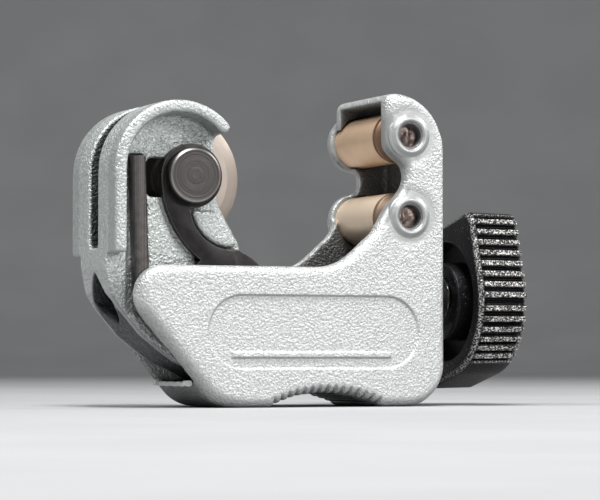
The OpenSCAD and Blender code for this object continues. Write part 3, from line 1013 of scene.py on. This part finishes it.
def feed_screw():
    """Left-hand thread with a necked journal that the slide holds."""
    low, high = box_mm("feed_screw")
    major, journal, neck, depth = (high[2] - low[2]) / 2, 2.5, 1.7, 0.78
    start, end = -15.55, 12.7
    rows, segments = int((end - start) / 0.1), 72
    head = softened([(low[0], 0.0), (low[0], journal - 0.3), (low[0] + 0.3, journal),
        (-19.8, journal), (-19.6, neck), (-18.4, neck), (-18.2, journal), (start, journal),
        (start, major - 0.6)], 0.08, 2, closed=False)
    thread = [(start + (end - start) * k / rows, major) for k in range(rows + 1)]
    tail = [(end, journal), (high[0], journal), (high[0], 0.0)]
    points, faces = revolved(head + thread + tail, SCREW, "X", segments)
    part = points[len(head) * segments:(len(head) + len(thread)) * segments]
    groove = np.clip(thread_ripple(part) * 1.5 - 0.25, 0.0, 1.0)
    fade = step(part[:, 0], start, start + 1.6) * (1 - step(part[:, 0], end - 2.5, end - 0.5))
    scale_about_screw(part, 1 - depth * groove * fade / major)
    piece("feed_screw_threaded", points, faces, SCREW_STEEL, "knob",
        ["feed_screw"], 30)


# ---- knob

# The grip's disc and its two lobes, and the ribs' pitch, depth and rise above the outline
LOBE_REACH, LOBE_R, ROUND_R, LOBE_ANGLE = 12.0, 2.3, 11.0, 60.0
RIB_PITCH, RIB_DEPTH, CREST = 1.57, 0.72, 0.12
# Ribbed stretches, in degrees, measured as LOBE_ANGLE is
RIBBED = ((-56.0, 62.0), (124.0, 242.0))


def knob_outline(count=1080):
    """Even points round the grip, their outward normals and their distance along it, in mm.

    The grip is the hull of a disc and two lobes.
    """
    ends = [np.array([0.0, 0.0])]
    radii = [ROUND_R]
    for turn in np.radians([LOBE_ANGLE, LOBE_ANGLE + 180]):
        ends.append(LOBE_REACH * np.array([math.cos(turn), math.sin(turn)]))
        radii.append(LOBE_R)
    normals = np.radians(np.linspace(0, 360, 7200, endpoint=False))
    facing = np.stack([np.cos(normals), np.sin(normals)], 1)
    reach = np.stack([facing @ c + r for c, r in zip(ends, radii)], 1)
    best = reach.argmax(1)
    points = np.array([ends[k] for k in best]) + facing * np.array(radii)[best][:, None]
    loop = np.vstack([points, points[:1]])
    steps = np.linalg.norm(np.diff(loop, axis=0), axis=1)
    length = np.concatenate([[0.0], np.cumsum(steps)])
    at = np.linspace(0, length[-1], count, endpoint=False)
    even = np.stack([np.interp(at, length, loop[:, k]) for k in (0, 1)], 1)
    tangent = np.roll(even, -1, 0) - np.roll(even, 1, 0)
    tangent /= np.linalg.norm(tangent, axis=1)[:, None]
    outward = np.stack([tangent[:, 1], -tangent[:, 0]], 1)
    return even, outward, at


def ribbed_share(angle):
    """1 on the ribbed stretches of the grip, for angles in degrees."""
    share = np.zeros(len(angle))
    for start, end in RIBBED:
        turned_by, span = (angle - start) % 360, end - start
        share = np.maximum(share, step(turned_by, 0, 4) * (1 - step(turned_by, span - 4, span)))
    return share


def feed_knob():
    """The ribbed grip with a ring groove outside, and a dish and a collar inside."""
    low, high = box_mm("feed_knob")
    inner_x, outer_x = 10.1, high[0]
    even, outward, at = knob_outline()
    turn = np.arctan2(even[:, 1], even[:, 0])
    ribbed = ribbed_share(np.degrees(turn))
    wave = ripple(at / RIB_PITCH)
    flutes = step(wave, 0.45, 0.8) * (1 - 0.35 * step(wave, 0.9, 1.0))
    valley = (flutes + 0.08 * step(0.16 - wave, 0.0, 0.16)) * ribbed
    # Rows of the grip: x, inset from the outline, share of the rib depth
    rim = [(inner_x, 0.75, 0.0), (inner_x + 0.12, 0.45, 0.0), (inner_x + 0.45, 0.1, 0.0),
        (inner_x + 0.7, 0.0, 0.1), (inner_x + 0.95, 0.0, 0.8), (inner_x + 1.15, 0.0, 1.0)]
    straight = outer_x - 1.75 - inner_x
    rim += [(inner_x + 1.15 + straight * k / 10, 0.012 * k, 1.0) for k in range(1, 11)]
    rim += [(outer_x - 0.35, 0.16, 1.0), (outer_x - 0.12, 0.3, 1.0), (outer_x - 0.02, 0.55, 0.8),
        (outer_x, 1.0, 0.4), (outer_x, 2.0, 0.0)]
    rows, crest = [], []

    def row(x, across, up, mark):
        rows.append(np.column_stack([np.full(len(turn), x), -across, SCREW[2] + up]))
        crest.append(mark)

    def circle(x, r):
        row(x, r * np.cos(turn), r * np.sin(turn), np.zeros(len(turn)))

    for x, inset, share in rim:
        lift = CREST * share * ribbed * (1 - step(wave, 0.3, 0.6))
        flat = even - outward * (inset + RIB_DEPTH * share * valley - lift)[:, None]
        ribs = (1 - step(wave, 0.4, 0.62)) * ribbed * share
        worn_rim = np.full(len(turn), 0.8 if 0.05 < inset < 0.5 else 0.0)
        row(x, flat[:, 0], flat[:, 1], ribs if share > 0.2 else worn_rim)
    for x, r in softened([(outer_x, 8.6), (outer_x, 8.0), (outer_x - 0.8, 7.7),
            (outer_x - 0.8, 5.4), (outer_x - 0.1, 5.2), (outer_x - 0.1, 1.2),
            (outer_x - 0.5, 0.7), (outer_x - 0.5, 0.0)], 0.2, 3, closed=False):
        circle(x, r)
    floor_x = inner_x + 2.6
    dish = softened([(inner_x, 9.3), (inner_x, 8.75), (inner_x + 0.15, 8.6), (floor_x, 8.45),
        (floor_x, 5.75), (inner_x + 2.3, 5.6), (low[0] + 0.3, 5.6), (low[0], 5.3), (low[0], 3.6),
        (floor_x, 3.5), (floor_x, 0.0)], 0.14, 3, closed=False)
    first = len(rows)
    for x, r in reversed(dish):
        circle(x, r)
    order = list(range(first, len(rows))) + list(range(first))
    points = np.concatenate([rows[k] for k in order])
    marks = np.concatenate([crest[k] for k in order]).astype(np.float32)
    faces = grid_faces(len(order), len(even))
    mesh = mesh_mm("feed_knob_ribbed", points, faces, 38, marks)
    dress("feed_knob_ribbed", mesh, KNOB, "knob", ["feed_knob"])


# ---- spring

def square_wire(width, height, soft):
    """Section of a wire with softened corners."""
    w, h = width / 2, height / 2
    return softened([(-w, -h), (w, -h), (w, h), (-w, h)], soft, 3)


def spring_wire():
    """Both outer legs and both windings, of square wire, and a flat strip beside each shank."""
    leg_y, strip_y, coil_y, coil_r = 5.22, 5.74, 2.05, 3.17
    path = smooth_path([(-39.8, leg_y, 34.3), (-39.2, leg_y, 17.0), (-38.6, leg_y, 14.6),
        (-36.0, leg_y, 13.4), (-35.4, 4.4, 13.35), (-35.2, 3.2, 13.3), (-33.6, coil_y, 12.9)], 1.2)
    for a in np.radians(np.arange(-92, 270, 8)):
        path.append(np.array([coil_r * math.cos(a), coil_y, coil_r * math.sin(a)])
            + (PIVOT[0], 0.0, PIVOT[2]))
    strip = smooth_path([(-39.3, strip_y, 17.0), (-39.1, strip_y, 14.6), (-38.0, strip_y, 12.2),
        (-36.0, strip_y, 9.9)], 1.5)
    parts = []
    for mirror in ((1, -1, 1), (1, 1, 1)):
        parts.append(swept(np.array(path) * mirror, square_wire(WIRE, 2.0, 0.3)))
        parts.append(swept(np.array(strip) * mirror, square_wire(0.8, 2.4, 0.2)))
    points, faces = joined(*parts)
    piece("spring_wire", points, faces, SPRING_STEEL, "slide",
        ["autofeed_spring"], 35)


def spring_tongue():
    """The middle leg, which pushes on the bridge pin."""
    path = smooth_path([(-28.6, 0.0, 12.2), (-29.9, 0.0, 15.6), (-30.7, 0.0, 18.6),
        (-31.5, 0.0, 21.7)], 1.5, 8)
    path = [p + (q - p) * t for p, q in zip(path, path[1:]) for t in (0.0, 0.5)] + [path[-1]]
    points, faces = swept(path, square_wire(WIRE, 1.9, 0.3))
    mesh = mesh_mm("spring_tongue", points, faces, 35)
    mesh.materials.append(SPRING_STEEL)
    ob = add_object("spring_tongue", mesh)
    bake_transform(ob)


# ---- stage

# The camera, fitted to the photograph's view
LENS, SENSOR = 158.22, 36.0
EYE, LOOK = (-0.154225, -0.340858, 0.006537), (0.41227, 0.91011, 0.04169)


def studio_floor():
    """A pale round floor that curves up into a low wall on every side."""
    bend, floor_r, wall, segments = 0.35, 0.75, 0.9, 96
    profile = [(0.0, 0.0)] + [(floor_r * k / 6, 0.0) for k in range(1, 7)]
    profile += [(floor_r + bend * math.sin(a), bend * (1 - math.cos(a)))
        for a in np.radians(np.linspace(7.5, 90, 12))]
    profile += [(floor_r + bend, bend + wall)]
    points = []
    for r, z in profile:
        points += [(r * math.cos(a), r * math.sin(a), z)
            for a in np.linspace(0, 2 * math.pi, segments, endpoint=False)]
    mesh = bpy.data.meshes.new("studio_floor")
    mesh.from_pydata(points, [], grid_faces(len(profile), segments))
    tidy_mesh(mesh, 180)
    g = Graph("floor_paper")
    tone = g.ramp(g.noise(40.0, 3.0), 0.3, 0.7)
    g.bump(g.noise(0.6, 3.0), 0.01, 0.4)
    mesh.materials.append(g.finish(g.mix(tone, (0.38, 0.38, 0.385), (0.41, 0.41, 0.415)), 0.85))
    add_object("studio_floor", mesh)


def soft_light(name, at, size, power, tint=(1.0, 1.0, 1.0)):
    """A square softbox aimed at the middle of the tool."""
    light = bpy.data.lights.new(name, "AREA")
    light.size = size
    light.energy = power
    light.color = tint
    ob = add_object(name, light)
    ob.location = at
    middle = (cad_box[0] + cad_box[1]) / 2
    ob.rotation_euler = (middle - Vector(at)).to_track_quat("-Z", "Y").to_euler()
    ob.visible_camera = False


def lights():
    """Four softboxes and a faint even light from all round."""
    soft_light("key_top", (-0.08, -0.20, 0.55), size=0.18, power=3.9)
    soft_light("fill_left", (-0.38, -0.04, 0.52), size=0.25, power=2.0, tint=(0.97, 1.0, 1.0))
    soft_light("front", (0.26, -0.54, 0.28), size=0.26, power=1.9)
    soft_light("rim_right", (0.45, -0.05, 0.30), size=0.20, power=1.1)
    world = bpy.data.worlds.new("studio")
    world.use_nodes = True
    background = world.node_tree.nodes["Background"]
    background.inputs["Color"].default_value = (0.8, 0.82, 0.85, 1.0)
    background.inputs["Strength"].default_value = 0.12
    bpy.context.scene.world = world
    bpy.context.scene.view_settings.view_transform = "Standard"


def camera():
    """The camera, at the photograph's angle."""
    data = bpy.data.cameras.new("camera")
    data.lens = LENS
    data.sensor_width = SENSOR
    data.clip_start = 0.01
    data.clip_end = 10.0
    ob = add_object("camera", data)
    ob.location = EYE
    ob.rotation_euler = Vector(LOOK).to_track_quat("-Z", "Y").to_euler()
    bpy.context.scene.camera = ob


camera()
frame_casting()
boss_rings()
mouth_lip()
slide_casting()
roller("upper_roller_turned", "upper_roller", HIGH_ROLLER, BRONZE_HIGH, "upper_roller_body")
roller("lower_roller_turned", "lower_roller", LOW_ROLLER, BRONZE_LOW, "lower_roller_body")
peened_pin("upper_pin_peened", "upper_roller_pin", HIGH_ROLLER, 3)
peened_pin("lower_pin_peened", "lower_roller_pin", LOW_ROLLER, 8)
feed_nut()
ring("thrust_washer_turned", "thrust_washer", SCREW, "X", 2.7, 0.15, SCREW_STEEL, "slide", "steel")
retaining_pins()
round_pin("lever_pivot_rivet", "lever_pivot_pin", PIVOT, 0.3, DARK, "slide")
spring_wire()
spring_tongue()
for side in ("front", "rear"):
    bevelled(side + "_lever_plate", side + "_lever", 0.16, DARK, "lever")
round_pin("lever_bridge_rivet", "lever_bridge_pin", sum(box_mm("lever_bridge_pin")) / 2, 0.2, DARK,
    "lever")
wheel_pin()
bevelled("wheel_pin_clip_bent", "wheel_pin_clip", 0.08, SPRING_STEEL, "lever")
cutter_wheel()
feed_screw()
feed_knob()
bevelled("knob_cross_pin_turned", "knob_cross_pin", 0.2, SCREW_STEEL, "knob")
studio_floor()
lights()
